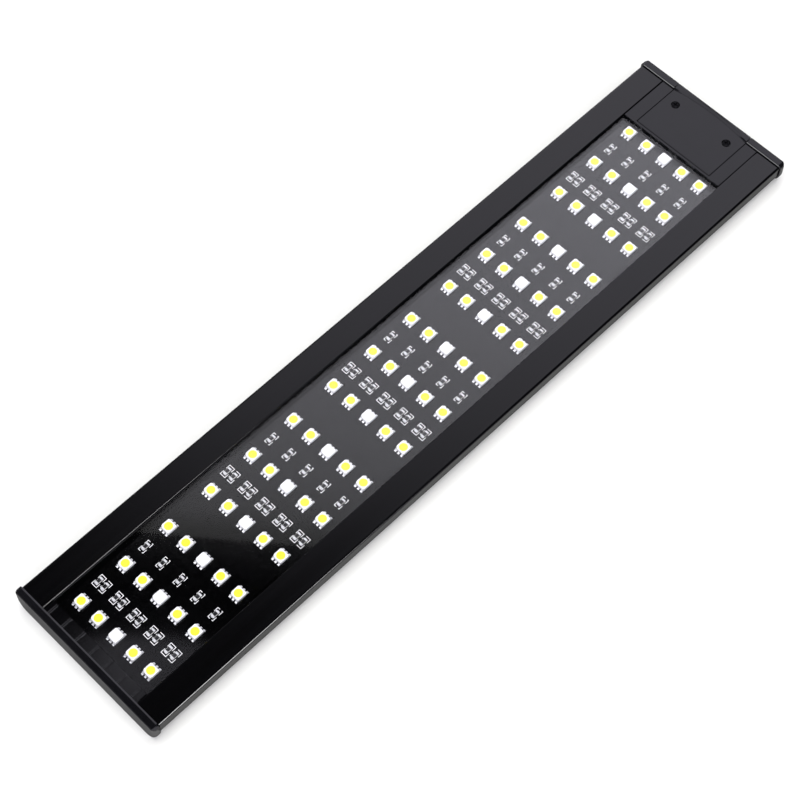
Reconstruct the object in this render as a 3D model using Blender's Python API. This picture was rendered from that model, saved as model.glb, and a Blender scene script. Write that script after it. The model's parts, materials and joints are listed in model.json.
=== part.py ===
"""LED aquarium light: a slim extruded bar, lying on its back with the LEDs facing up.

X runs along the bar towards the end with the wiring compartment, Y across it, Z up out of the LEDs.
The origin is under the middle of the bar, on the surface that it lies on.
"""

import math

import bmesh
import bpy
from mathutils import Vector

MM = 0.001
GAP = 0.3 * MM                      # clearance kept between touching pieces
SUNK = 0.3 * MM                     # how deep joined shapes reach into each other
PAST = 1.0 * MM                     # how far a cutter reaches past a face
SHARP_ANGLE = math.radians(35)

# Whole light
LENGTH = 361.4 * MM
HALF_LENGTH = LENGTH / 2

# End caps
CAP_THICKNESS = 3.5 * MM
CAP_HALF_WIDTH = 40.1 * MM
CAP_HEIGHT = 11.7 * MM
CAP_TOP_CORNER = 1.8 * MM
CAP_SIDE_EDGE = 2.0 * MM            # rounding where the outer face meets the sides
CAP_TOP_EDGE = 0.4 * MM             # rounding where the outer face meets the top
CAP_SMALLEST_CORNER = 0.3 * MM
CAP_BACK_CHAMFER = 0.3 * MM         # where the plate meets the housing
CAP_EDGE_SHARES = (0, 0.06, 0.2, 0.45, 0.7, 1)      # of the side's rounding, where the plate has a ring
CAP_INNER = HALF_LENGTH - CAP_THICKNESS

# Extruded housing
HOUSING_HALF_LENGTH = CAP_INNER - GAP
HOUSING_HALF_WIDTH = 39.4 * MM
HOUSING_BOTTOM = 0.7 * MM
HOUSING_TOP = 10.7 * MM
LOWER_CORNER = 5.5 * MM
UPPER_CORNER = 1.0 * MM
LIP_CORNER = 0.4 * MM
WALL = 1.3 * MM
WINDOW_HALF = 27.0 * MM             # opening between the two lips
CHANNEL_HALF = 29.0 * MM            # channel under the lens
CHANNEL_FLOOR = 2.9 * MM
GROOVE_HALF = 30.3 * MM             # bottom of the lens grooves
GROOVE_LOW = 5.9 * MM
GROOVE_HIGH = 9.7 * MM
RIM_HOLLOW_TOP = 9.2 * MM
FIN_PITCH = 4.0 * MM
FIN_SLOT = 2.0 * MM
FIN_DEPTH = 1.0 * MM
FIN_SLOTS = 13
LOWER_CORNER_Y = HOUSING_HALF_WIDTH - LOWER_CORNER
LOWER_CORNER_Z = HOUSING_BOTTOM + LOWER_CORNER

# LED board
COLUMNS = 15
ROWS = 5
COLUMN_PITCH = 22.3 * MM
ROW_PITCH = 10.0 * MM
FIRST_COLUMN_X = -164.4 * MM
LED_SIDE = 5.0 * MM
LED_HEIGHT = 1.6 * MM
RESISTOR_LENGTH = 3.2 * MM
RESISTOR_WIDTH = 1.6 * MM
RESISTOR_HEIGHT = 0.6 * MM
RESISTOR_OFFSET_X = 10.5 * MM
RESISTOR_OFFSET_Y = 0.3 * MM
RESISTOR_PAIR_PITCH = 3.5 * MM
BOARD_LOW = 5.1 * MM
BOARD_HIGH = 6.7 * MM
BOARD_HALF_WIDTH = 28.5 * MM
BOARD_START = -171.2 * MM
BOARD_END = 158.6 * MM

# Thermal pad, lens and its seals
PAD_LOW = CHANNEL_FLOOR + GAP
PAD_HIGH = BOARD_LOW - GAP
PAD_HALF_WIDTH = 27.5 * MM
LENS_LOW = 8.6 * MM
LENS_HIGH = GROOVE_HIGH - GAP
LENS_HALF_WIDTH = GROOVE_HALF - GAP
SEAL_WIDTH = 0.8 * MM

# Compartment in the far end cap
CELL_START = 151.8 * MM             # outside of its front wall
FRONT_WALL = 1.0 * MM
FRONT_LOW = BOARD_HIGH + GAP
SHELF_LOW = FRONT_LOW + GAP
LEDGE = 1.2 * MM
FLANK_HALF = WINDOW_HALF - GAP
FOOT_HALF = CHANNEL_HALF - GAP
FOOT_INNER = 24.0 * MM
FOOT_HIGH = GROOVE_LOW - GAP
TRAY_START = 161.5 * MM
TRAY_HIGH = 4.4 * MM
BOSS_RADIUS = 2.6 * MM

# Cover plate
COVER_HALF = 20.45 * MM
COVER_START = CELL_START + FRONT_WALL + GAP
COVER_LOW = 9.2 * MM
COVER_BULGE = 1.7 * MM              # how far the flat part runs into the raised edge
COVER_STEP_ENDS = 0.3 * MM          # width of the slope up to the raised edge, at the plate's sides
COVER_STEP_MIDDLE = 1.3 * MM        # the same in the middle
COVER_STATIONS = 24
GASKET_LOW = 8.4 * MM
GASKET_HIGH = COVER_LOW - GAP
LEDGE_HIGH = GASKET_LOW - GAP
GASKET_WIDTH = 0.9 * MM
COVER_SCREW_X = 171.2 * MM
COVER_SCREW_Y = 14.5 * MM

# Near end cap's fingers
TONGUE_END = -172.0 * MM
TONGUE_LOW = LENS_HIGH + GAP
BLOCK_END = -171.5 * MM
BLOCK_HIGH = LENS_LOW - 0.4 * MM
RIB_COUNT = 7
RIB_PITCH = 7.9 * MM
RIB_WIDTH = 1.0 * MM
RIB_HEIGHT = 0.6 * MM

# Pegs of both caps, in the hollow rims
PEG_LENGTH = 12.0 * MM
PEG_Y = (31.9 * MM, 37.0 * MM)
PEG_Z = (4.0 * MM, 8.9 * MM)

# Screws
HEAD_RADIUS = 1.9 * MM
HEAD_RIM = 0.15 * MM                # straight edge of a countersunk head
HEAD_SET_BACK = 0.1 * MM            # how far the head sits inside the housing's back
SHANK_RADIUS = 0.8 * MM
SCREW_HOLE = SHANK_RADIUS + GAP
SCREW_TIP_RADIUS = 0.3 * MM
SCREW_TIP_LENGTH = 0.6 * MM
COVER_HEAD_RADIUS = 1.6 * MM
COVER_HEAD_HEIGHT = 0.8 * MM        # below the cover's face
COVER_HEAD_CROWN = 0.2 * MM         # above it
COVER_HEAD_EDGE = 0.25 * MM
CROSS_HALF = 1.15 * MM              # half the length of a driver recess's arms
CROSS_SLENDERNESS = 0.24            # their half-width, as a share of that
CROSS_DEPTH = 0.65 * MM
SCREW_SIDES = 24
CAP_SCREW_X = 174.4 * MM
CAP_SCREW_Y = 26.9 * MM
CAP_SCREW_LENGTH = 4.3 * MM
COVER_SCREW_LENGTH = 5.2 * MM
COUNTERSINK_DEPTH = HEAD_RADIUS - SHANK_RADIUS

# Power socket, its seal and wiring
SOCKET_Z = 6.05 * MM
SOCKET_BODY = (167.0 * MM, 175.6 * MM)
SOCKET_HALF_WIDTH = 3.6 * MM
SOCKET_HALF_HEIGHT = 2.8 * MM
NOSE_RADIUS = 2.1 * MM
NOSE_HOLE = NOSE_RADIUS + GAP
NOSE_END = HALF_LENGTH - 0.4 * MM
BORE_RADIUS = 1.75 * MM
BORE_DEPTH = 9.0 * MM
PIN_RADIUS = 0.5 * MM
PIN_SHORT = 1.0 * MM                # the pin ends this far inside the mouth
CONTACT_Y = 2.2 * MM
CONTACT_LENGTH = 2.2 * MM
CONTACT_WIDTH = 1.4 * MM
CONTACT_THICKNESS = 0.4 * MM
CONTACT_Z = 5.0 * MM
HEADER_X = (154.4 * MM, 158.4 * MM)
HEADER_Y = 9.5 * MM
HEADER_HALF_WIDTH = 3.2 * MM
HEADER_Z = (BOARD_HIGH + GAP, 8.9 * MM)
HEADER_WALL = 0.3 * MM
HEADER_BACK = 1.2 * MM
HEADER_PIN_ROOM = 1.6 * MM          # between the header's back and the plug
HEADER_PIN_PITCH = 2.0 * MM
HEADER_PIN_HALF = 0.2 * MM
PLUG_END = 159.8 * MM
WIRE_RADIUS = 0.45 * MM
WIRE_LIFT = 0.8 * MM                # how far the two leads arch apart
WIRE_STEPS = 10


# ---------------------------------------------------------------- helpers

def clear_scene():
    for obj in list(bpy.data.objects):
        bpy.data.objects.remove(obj, do_unlink=True)


def make_material(name, colour, roughness, metallic=0.0):
    material = bpy.data.materials.new(name)
    material.use_nodes = True
    shader = material.node_tree.nodes["Principled BSDF"]
    shader.inputs["Base Color"].default_value = (*colour, 1.0)
    shader.inputs["Roughness"].default_value = roughness
    shader.inputs["Metallic"].default_value = metallic
    return material


def add_object(name, bm, material=None, location=(0, 0, 0), smooth=False):
    """Turns a bmesh into a named object of its own."""
    bmesh.ops.recalc_face_normals(bm, faces=bm.faces)
    mesh = bpy.data.meshes.new(name)
    bm.to_mesh(mesh)
    bm.free()
    if smooth:
        mesh.shade_smooth()
        mesh.set_sharp_from_angle(angle=SHARP_ANGLE)
    obj = bpy.data.objects.new(name, mesh)
    obj.location = location
    bpy.context.collection.objects.link(obj)
    if material:
        mesh.materials.append(material)
    return obj


def add_box(bm, low, high):
    """Adds a closed box between two corners."""
    xs, ys, zs = zip(low, high)
    verts = [bm.verts.new((x, y, z)) for x in xs for y in ys for z in zs]
    for face in ((0, 1, 3, 2), (4, 6, 7, 5), (0, 4, 5, 1), (2, 3, 7, 6), (0, 2, 6, 4), (1, 5, 7, 3)):
        bm.faces.new([verts[i] for i in face])


def boxes(name, corner_pairs, material=None):
    bm = bmesh.new()
    for low, high in corner_pairs:
        add_box(bm, low, high)
    return add_object(name, bm, material)


def loft(name, loops, material=None, smooth=False):
    """Joins rings of points with the same count, and fills the two ends."""
    bm = bmesh.new()
    rings = [[bm.verts.new(point) for point in loop] for loop in loops]
    for ring, following in zip(rings, rings[1:]):
        count = len(ring)
        for i in range(count):
            j = (i + 1) % count
            bm.faces.new((ring[i], ring[j], following[j], following[i]))
    bm.faces.new(rings[0])
    bm.faces.new(rings[-1])
    return add_object(name, bm, material, smooth=smooth)


def prism(name, outline, x_start, x_end, material=None, smooth=False):
    """Extrudes an outline of (y, z) points along X."""
    loops = [[(x, y, z) for y, z in outline] for x in (x_start, x_end)]
    return loft(name, loops, material, smooth)


def turned(name, profile, axis, location, material=None, smooth=True):
    """Turns (radius, height) points about an axis; the first and last radius are 0."""
    bm = bmesh.new()
    ends = [bm.verts.new((0, 0, profile[0][1])), bm.verts.new((0, 0, profile[-1][1]))]
    rings = []
    for radius, height in profile[1:-1]:
        angles = [2 * math.pi * i / SCREW_SIDES for i in range(SCREW_SIDES)]
        rings.append([bm.verts.new((radius * math.cos(a), radius * math.sin(a), height)) for a in angles])
    for i in range(SCREW_SIDES):
        j = (i + 1) % SCREW_SIDES
        bm.faces.new((ends[0], rings[0][j], rings[0][i]))
        bm.faces.new((ends[1], rings[-1][i], rings[-1][j]))
        for ring, following in zip(rings, rings[1:]):
            bm.faces.new((ring[i], ring[j], following[j], following[i]))
    turn = Vector((0, 0, 1)).rotation_difference(Vector(axis)).to_matrix().to_4x4()
    bm.transform(turn)
    return add_object(name, bm, material, location, smooth)


def cylinder(name, radius, length, axis, location, material=None):
    return turned(name, [(0, 0), (radius, 0), (radius, length), (0, length)], axis, location, material)


def boolean(target, tool, operation):
    """Cuts or joins with another solid, which is kept as a hidden guide."""
    modifier = target.modifiers.new(tool.name, "BOOLEAN")
    modifier.operation = operation
    modifier.solver = "EXACT"
    modifier.object = tool
    tool.hide_render = True
    tool.display_type = "WIRE"


def cut(target, *tools):
    for tool in tools:
        boolean(target, tool, "DIFFERENCE")


def join(target, *tools):
    for tool in tools:
        boolean(target, tool, "UNION")


def arc(centre_y, centre_z, radius, start, end, steps):
    """Points on an arc in the YZ plane, from one angle to another in degrees."""
    angles = [math.radians(start + (end - start) * i / steps) for i in range(steps + 1)]
    return [(centre_y + radius * math.cos(a), centre_z + radius * math.sin(a)) for a in angles]


def mirrored(points):
    return [(-y, z) for y, z in reversed(points)]


def inset_at(depth, radius):
    """How far a rounded edge of this radius stands back, this deep under its face."""
    if depth >= radius:
        return 0.0
    return radius - math.sqrt(radius ** 2 - (radius - depth) ** 2)


# ---------------------------------------------------------------- housing

def fin_slots():
    """The cooling slots along the back, from the left to the right."""
    points = []
    for i in range(FIN_SLOTS):
        centre = (i - (FIN_SLOTS - 1) / 2) * FIN_PITCH
        left, right = centre - FIN_SLOT / 2, centre + FIN_SLOT / 2
        top = HOUSING_BOTTOM + FIN_DEPTH
        points += [(left, HOUSING_BOTTOM), (left, top), (right, top), (right, HOUSING_BOTTOM)]
    return points


def housing_outline():
    side = arc(LOWER_CORNER_Y, LOWER_CORNER_Z, LOWER_CORNER, -90, 0, 8)
    side += arc(HOUSING_HALF_WIDTH - UPPER_CORNER, HOUSING_TOP - UPPER_CORNER, UPPER_CORNER, 0, 90, 5)
    side += arc(WINDOW_HALF + LIP_CORNER, HOUSING_TOP - LIP_CORNER, LIP_CORNER, 90, 180, 3)
    side += [(WINDOW_HALF, GROOVE_HIGH), (GROOVE_HALF, GROOVE_HIGH), (GROOVE_HALF, GROOVE_LOW)]
    side += [(CHANNEL_HALF, GROOVE_LOW), (CHANNEL_HALF, CHANNEL_FLOOR)]
    return fin_slots() + side + mirrored(side)


def rim_hollow(side):
    inner = GROOVE_HALF + WALL
    outline = [(inner, HOUSING_BOTTOM + WALL)]
    outline += arc(LOWER_CORNER_Y, LOWER_CORNER_Z, LOWER_CORNER - WALL, -90, 0, 6)
    outline += [(HOUSING_HALF_WIDTH - WALL, RIM_HOLLOW_TOP), (inner, RIM_HOLLOW_TOP)]
    if side < 0:
        outline = mirrored(outline)
    reach = HOUSING_HALF_LENGTH + PAST
    return prism(f"cut_rim_hollow_{side}", outline, -reach, reach)


def screw_positions():
    for end_name, x in (("near", -CAP_SCREW_X), ("far", CAP_SCREW_X)):
        for side_name, y in (("left", CAP_SCREW_Y), ("right", -CAP_SCREW_Y)):
            yield f"{end_name}_{side_name}", x, y


def countersink(label, x, y):
    mouth = HEAD_RADIUS + GAP
    top = CHANNEL_FLOOR - HOUSING_BOTTOM + PAST
    profile = [(0, -PAST), (mouth, -PAST), (mouth, 0)]
    profile += [(SCREW_HOLE, COUNTERSINK_DEPTH), (SCREW_HOLE, top), (0, top)]
    return turned(f"cut_countersink_{label}", profile, (0, 0, 1), (x, y, HOUSING_BOTTOM))


def build_housing():
    material = make_material("black_anodised", (0.012, 0.012, 0.014), 0.38, 0.9)
    housing = prism("housing", housing_outline(), -HOUSING_HALF_LENGTH, HOUSING_HALF_LENGTH, material, True)
    cut(housing, rim_hollow(1), rim_hollow(-1))
    cut(housing, *[countersink(label, x, y) for label, x, y in screw_positions()])


# ---------------------------------------------------------------- end caps

def cap_outline(side_inset, edge_inset):
    """The cap seen along X, drawn in from its sides and from its top and bottom."""
    half = CAP_HALF_WIDTH - side_inset
    top = CAP_HEIGHT - edge_inset
    lower = CAP_HALF_WIDTH - LOWER_CORNER_Y
    radius = lower - max(side_inset, edge_inset)
    corner = max(CAP_TOP_CORNER - side_inset, CAP_SMALLEST_CORNER)
    side = arc(half - radius, edge_inset + radius, radius, -90, 0, 8)
    side += arc(half - corner, top - corner, corner, 0, 90, 5)
    return side + mirrored(side)


def cap_plate(name, direction, material):
    """The end plate: flat outside, with soft edges, drawn from its outer face inwards."""
    chamfer_start = CAP_THICKNESS - CAP_BACK_CHAMFER
    depths = [share * CAP_SIDE_EDGE for share in CAP_EDGE_SHARES] + [chamfer_start, CAP_THICKNESS]
    loops = []
    for depth in depths:
        back = max(0.0, depth - chamfer_start)
        side = inset_at(depth, CAP_SIDE_EDGE) + back
        edge = inset_at(depth, CAP_TOP_EDGE) + back
        x = direction * (HALF_LENGTH - depth)
        loops.append([(x, y, z) for y, z in cap_outline(side, edge)])
    return loft(name, loops, material, True)


def add_pegs(cap, direction):
    """Two pegs that plug into the hollow rims."""
    for side in (1, -1):
        xs = sorted((direction * (CAP_INNER + SUNK), direction * (CAP_INNER - PEG_LENGTH)))
        ys = sorted((side * PEG_Y[0], side * PEG_Y[1]))
        low = (xs[0], ys[0], PEG_Z[0])
        high = (xs[1], ys[1], PEG_Z[1])
        join(cap, boxes(f"add_peg_{direction}_{side}", [(low, high)]))


def drill_cap_screws(cap, end):
    depth = HOUSING_BOTTOM + CAP_SCREW_LENGTH + GAP
    for label, x, y in screw_positions():
        if label.startswith(end):
            cut(cap, cylinder(f"cut_cap_pilot_{label}", SCREW_HOLE, depth, (0, 0, 1), (x, y, 0)))


def build_near_cap(material):
    cap = cap_plate("near_end_cap", -1, material)
    back = -CAP_INNER - SUNK
    tongue = ((back, -FLANK_HALF, TONGUE_LOW), (TONGUE_END, FLANK_HALF, HOUSING_TOP))
    block = ((back, -FOOT_HALF, CHANNEL_FLOOR + GAP), (BLOCK_END, FOOT_HALF, GROOVE_LOW - GAP))
    step = ((back, -FLANK_HALF, GROOVE_LOW - GAP - SUNK), (BLOCK_END - SUNK, FLANK_HALF, BLOCK_HIGH))
    join(cap, boxes("add_tongue", [tongue]), boxes("add_block", [block]), boxes("add_block_step", [step]))
    ribs = []
    for i in range(RIB_COUNT):
        y = (i - (RIB_COUNT - 1) / 2) * RIB_PITCH
        low = (back, y - RIB_WIDTH / 2, HOUSING_TOP - SUNK)
        high = (TONGUE_END - SUNK, y + RIB_WIDTH / 2, HOUSING_TOP + RIB_HEIGHT)
        ribs.append((low, high))
    join(cap, boxes("add_ribs", ribs))
    add_pegs(cap, -1)
    drill_cap_screws(cap, "near")


def far_cap_shapes():
    """The solids that make up the wiring compartment, in front of the end plate."""
    wall_end = CELL_START + FRONT_WALL
    back = CAP_INNER + SUNK
    opening = COVER_HALF + GAP
    front = ((CELL_START, -FLANK_HALF, FRONT_LOW), (wall_end, FLANK_HALF, HOUSING_TOP))
    ledge = ((wall_end - SUNK, -FLANK_HALF, FRONT_LOW), (wall_end + LEDGE, FLANK_HALF, LEDGE_HIGH))
    yield "front", [front]
    yield "front_ledge", [ledge]
    for side in (1, -1):
        inner, outer = side * opening, side * FLANK_HALF
        ledge_inner = side * (opening - LEDGE)
        ys = sorted((inner, outer))
        strip = ((CELL_START + SUNK, ys[0], LEDGE_HIGH - SUNK), (back, ys[1], HOUSING_TOP))
        ys = sorted((ledge_inner, outer - side * SUNK))
        shelf = ((CELL_START + SUNK, ys[0], SHELF_LOW), (back, ys[1], LEDGE_HIGH))
        ys = sorted((side * FOOT_INNER, side * FOOT_HALF))
        foot = ((TRAY_START, ys[0], CHANNEL_FLOOR + GAP), (back, ys[1], FOOT_HIGH))
        ys = sorted((side * FOOT_INNER, side * (FLANK_HALF - SUNK)))
        post = ((TRAY_START + SUNK, ys[0], FOOT_HIGH - SUNK), (back, ys[1], SHELF_LOW + SUNK))
        yield f"strip_{side}", [strip]
        yield f"shelf_{side}", [shelf]
        yield f"foot_{side}", [foot]
        yield f"post_{side}", [post]
        ys = sorted((side * (SOCKET_HALF_WIDTH + GAP), side * (FOOT_INNER + SUNK)))
        tray = ((TRAY_START + 2 * SUNK, ys[0], CHANNEL_FLOOR + GAP), (back, ys[1], TRAY_HIGH))
        yield f"tray_{side}", [tray]


def screw_boss(side):
    """A post on the tray with a blind hole for a cover screw."""
    height = GASKET_HIGH - TRAY_HIGH + SUNK
    hole_bottom = height - (GASKET_HIGH - HOUSING_TOP + COVER_SCREW_LENGTH) - GAP
    profile = [(0, 0), (BOSS_RADIUS, 0), (BOSS_RADIUS, height)]
    profile += [(SCREW_HOLE, height), (SCREW_HOLE, hole_bottom), (0, hole_bottom)]
    place = (COVER_SCREW_X, side * COVER_SCREW_Y, TRAY_HIGH - SUNK)
    return turned(f"add_boss_{side}", profile, (0, 0, 1), place)


def build_far_cap(material):
    cap = cap_plate("far_end_cap", 1, material)
    notch_half = COVER_HALF + GAP
    low = (CAP_INNER - PAST, -notch_half, COVER_LOW - GAP)
    high = (HALF_LENGTH + PAST, notch_half, CAP_HEIGHT + PAST)
    cut(cap, boxes("cut_cover_notch", [(low, high)]))
    for label, pair in far_cap_shapes():
        join(cap, boxes(f"add_cell_{label}", pair))
    for side in (1, -1):
        join(cap, screw_boss(side))
    add_pegs(cap, 1)
    length = CAP_THICKNESS + 2 * PAST
    cut(cap, cylinder("cut_socket_mouth", NOSE_HOLE, length, (1, 0, 0), (CAP_INNER - PAST, 0, SOCKET_Z)))
    drill_cap_screws(cap, "far")


# ---------------------------------------------------------------- cover plate

def cover_section(y):
    """The cover cut across at this y: a flat plate whose outer end is the cap's raised edge."""
    share = 1 - (y / COVER_HALF) ** 2
    foot = CAP_INNER + COVER_BULGE * share
    crest = foot + COVER_STEP_ENDS + (COVER_STEP_MIDDLE - COVER_STEP_ENDS) * share
    outer = HALF_LENGTH
    bevel = CAP_TOP_EDGE
    return [
        (COVER_START, COVER_LOW),
        (outer, COVER_LOW),
        (outer, CAP_HEIGHT - bevel),
        (outer - 0.3 * bevel, CAP_HEIGHT - 0.3 * bevel),
        (outer - bevel, CAP_HEIGHT),
        (crest, CAP_HEIGHT),
        (foot + 0.6 * (crest - foot), HOUSING_TOP + 0.75 * (CAP_HEIGHT - HOUSING_TOP)),
        (foot, HOUSING_TOP),
        (COVER_START, HOUSING_TOP),
    ]


def build_cover(material):
    loops = []
    for i in range(COVER_STATIONS + 1):
        y = COVER_HALF * (2 * i / COVER_STATIONS - 1)
        loops.append([(x, y, z) for x, z in cover_section(y)])
    cover = loft("cover_plate", loops, material, True)
    seat = COVER_HEAD_RADIUS + GAP
    bottom = COVER_LOW - HOUSING_TOP - PAST
    profile = [(0, bottom), (SCREW_HOLE, bottom), (SCREW_HOLE, -COVER_HEAD_HEIGHT)]
    profile += [(seat, -COVER_HEAD_HEIGHT), (seat, PAST), (0, PAST)]
    for side in (1, -1):
        place = (COVER_SCREW_X, side * COVER_SCREW_Y, HOUSING_TOP)
        cut(cover, turned(f"cut_screw_seat_{side}", profile, (0, 0, 1), place))


def build_cover_gasket():
    """A flat strip on the compartment's ledge, under the cover's front edge and sides."""
    material = make_material("gasket_rubber", (0.03, 0.03, 0.03), 0.8)
    start = CELL_START + FRONT_WALL + GAP
    end = CAP_INNER - GAP
    half = COVER_HALF
    strip = boxes("cover_gasket", [((start, -half, GASKET_LOW), (end, half, GASKET_HIGH))], material)
    inner_low = (start + GASKET_WIDTH, -half + GASKET_WIDTH, GASKET_LOW - PAST)
    inner_high = (end + PAST, half - GASKET_WIDTH, GASKET_HIGH + PAST)
    cut(strip, boxes("cut_gasket", [(inner_low, inner_high)]))


# ---------------------------------------------------------------- optics and board

def build_lens():
    material = make_material("clear_acrylic", (0.85, 0.88, 0.9), 0.05)
    low = (-CAP_INNER + GAP, -LENS_HALF_WIDTH, LENS_LOW)
    high = (CELL_START - GAP, LENS_HALF_WIDTH, LENS_HIGH)
    boxes("lens", [(low, high)], material)


def build_lens_seals():
    material = make_material("seal_silicone", (0.55, 0.56, 0.58), 0.6)
    for name, side in (("left", 1), ("right", -1)):
        ys = sorted((side * (LENS_HALF_WIDTH - SEAL_WIDTH), side * LENS_HALF_WIDTH))
        low = (-CAP_INNER + GAP, ys[0], GROOVE_LOW + GAP)
        high = (CELL_START - GAP, ys[1], LENS_LOW - GAP)
        boxes(f"lens_seal_{name}", [(low, high)], material)


def led_places():
    for column in range(COLUMNS):
        for row in range(ROWS):
            yield column, FIRST_COLUMN_X + column * COLUMN_PITCH, (row - (ROWS - 1) / 2) * ROW_PITCH


def resistor_places():
    """In each row, two resistors after the first column of three and one after the second."""
    for column, x, y in led_places():
        if column % 3 == 0:
            yield x + RESISTOR_OFFSET_X, y + RESISTOR_OFFSET_Y - RESISTOR_PAIR_PITCH / 2
            yield x + RESISTOR_OFFSET_X, y + RESISTOR_OFFSET_Y + RESISTOR_PAIR_PITCH / 2
        elif column % 3 == 1:
            yield x + RESISTOR_OFFSET_X, y + RESISTOR_OFFSET_Y


def centred_block(x, y, length, width, top):
    low = (x - length / 2, y - width / 2, BOARD_HIGH - SUNK)
    return low, (x + length / 2, y + width / 2, top)


def build_led_board():
    material = make_material("board_mask", (0.01, 0.01, 0.012), 0.3)
    low = (BOARD_START, -BOARD_HALF_WIDTH, BOARD_LOW)
    high = (BOARD_END, BOARD_HALF_WIDTH, BOARD_HIGH)
    board = boxes("led_board", [(low, high)], material)
    leds = [centred_block(x, y, LED_SIDE, LED_SIDE, BOARD_HIGH + LED_HEIGHT) for _, x, y in led_places()]
    resistor = (RESISTOR_LENGTH, RESISTOR_WIDTH, BOARD_HIGH + RESISTOR_HEIGHT)
    resistors = [centred_block(x, y, *resistor) for x, y in resistor_places()]
    join(board, boxes("add_components", leds + resistors))


def build_thermal_pad():
    material = make_material("pad_silicone", (0.35, 0.36, 0.38), 0.7)
    low = (BOARD_START + MM, -PAD_HALF_WIDTH, PAD_LOW)
    high = (BOARD_END - MM, PAD_HALF_WIDTH, PAD_HIGH)
    boxes("thermal_pad", [(low, high)], material)


# ---------------------------------------------------------------- wiring

def build_socket():
    material = make_material("socket_plastic", (0.015, 0.015, 0.015), 0.4)
    start, end = SOCKET_BODY
    low = (start, -SOCKET_HALF_WIDTH, SOCKET_Z - SOCKET_HALF_HEIGHT)
    high = (end, SOCKET_HALF_WIDTH, SOCKET_Z + SOCKET_HALF_HEIGHT)
    socket = boxes("power_socket", [(low, high)], material)
    nose_start = end - SUNK
    nose = cylinder("add_nose", NOSE_RADIUS, NOSE_END - nose_start, (1, 0, 0), (nose_start, 0, SOCKET_Z))
    join(socket, nose)
    bottom = NOSE_END - BORE_DEPTH
    cut(socket, cylinder("cut_bore", BORE_RADIUS, BORE_DEPTH + PAST, (1, 0, 0), (bottom, 0, SOCKET_Z)))
    pin_length = BORE_DEPTH - PIN_SHORT + SUNK
    join(socket, cylinder("add_pin", PIN_RADIUS, pin_length, (1, 0, 0), (bottom - SUNK, 0, SOCKET_Z)))


def build_socket_seal():
    """A soft flat washer squeezed between the socket's body and the end plate."""
    material = make_material("washer_rubber", (0.02, 0.02, 0.02), 0.75)
    low = (SOCKET_BODY[1] + GAP, -SOCKET_HALF_WIDTH, SOCKET_Z - SOCKET_HALF_HEIGHT)
    high = (CAP_INNER - GAP, SOCKET_HALF_WIDTH, SOCKET_Z + SOCKET_HALF_HEIGHT)
    washer = boxes("socket_seal", [(low, high)], material)
    length = high[0] - low[0] + 2 * PAST
    cut(washer, cylinder("cut_washer", NOSE_HOLE, length, (1, 0, 0), (low[0] - PAST, 0, SOCKET_Z)))


def build_contacts():
    material = make_material("tinned_brass", (0.75, 0.72, 0.65), 0.3, 1.0)
    end = SOCKET_BODY[0] - GAP
    for name, side in (("positive", 1), ("negative", -1)):
        y = side * CONTACT_Y
        low = (end - CONTACT_LENGTH, y - CONTACT_WIDTH / 2, CONTACT_Z)
        high = (end, y + CONTACT_WIDTH / 2, CONTACT_Z + CONTACT_THICKNESS)
        boxes(f"socket_contact_{name}", [(low, high)], material)


def build_header():
    """A small white box on the board, open towards the plug, with a pin for each wire."""
    nylon = make_material("nylon_white", (0.8, 0.79, 0.74), 0.5)
    metal = make_material("pin_tin", (0.8, 0.8, 0.8), 0.25, 1.0)
    low = (HEADER_X[0], HEADER_Y - HEADER_HALF_WIDTH, HEADER_Z[0])
    high = (HEADER_X[1], HEADER_Y + HEADER_HALF_WIDTH, HEADER_Z[1])
    header = boxes("board_header", [(low, high)], nylon)
    inner_low = (HEADER_X[0] + HEADER_BACK, low[1] + HEADER_WALL, low[2] + HEADER_WALL)
    inner_high = (HEADER_X[1] + PAST, high[1] - HEADER_WALL, high[2] - HEADER_WALL)
    cut(header, boxes("cut_header", [(inner_low, inner_high)]))
    plug_low = (inner_low[0] + HEADER_PIN_ROOM, inner_low[1] + GAP, inner_low[2] + GAP)
    plug_high = (PLUG_END, inner_high[1] - GAP, inner_high[2] - GAP)
    boxes("wire_plug", [(plug_low, plug_high)], nylon)
    middle = (HEADER_Z[0] + HEADER_Z[1]) / 2
    for name, side in (("positive", 1), ("negative", -1)):
        y = HEADER_Y + side * HEADER_PIN_PITCH / 2
        pin_low = (inner_low[0] + GAP, y - HEADER_PIN_HALF, middle - HEADER_PIN_HALF)
        pin_high = (plug_low[0] - GAP, y + HEADER_PIN_HALF, middle + HEADER_PIN_HALF)
        boxes(f"header_pin_{name}", [(pin_low, pin_high)], metal)


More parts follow.
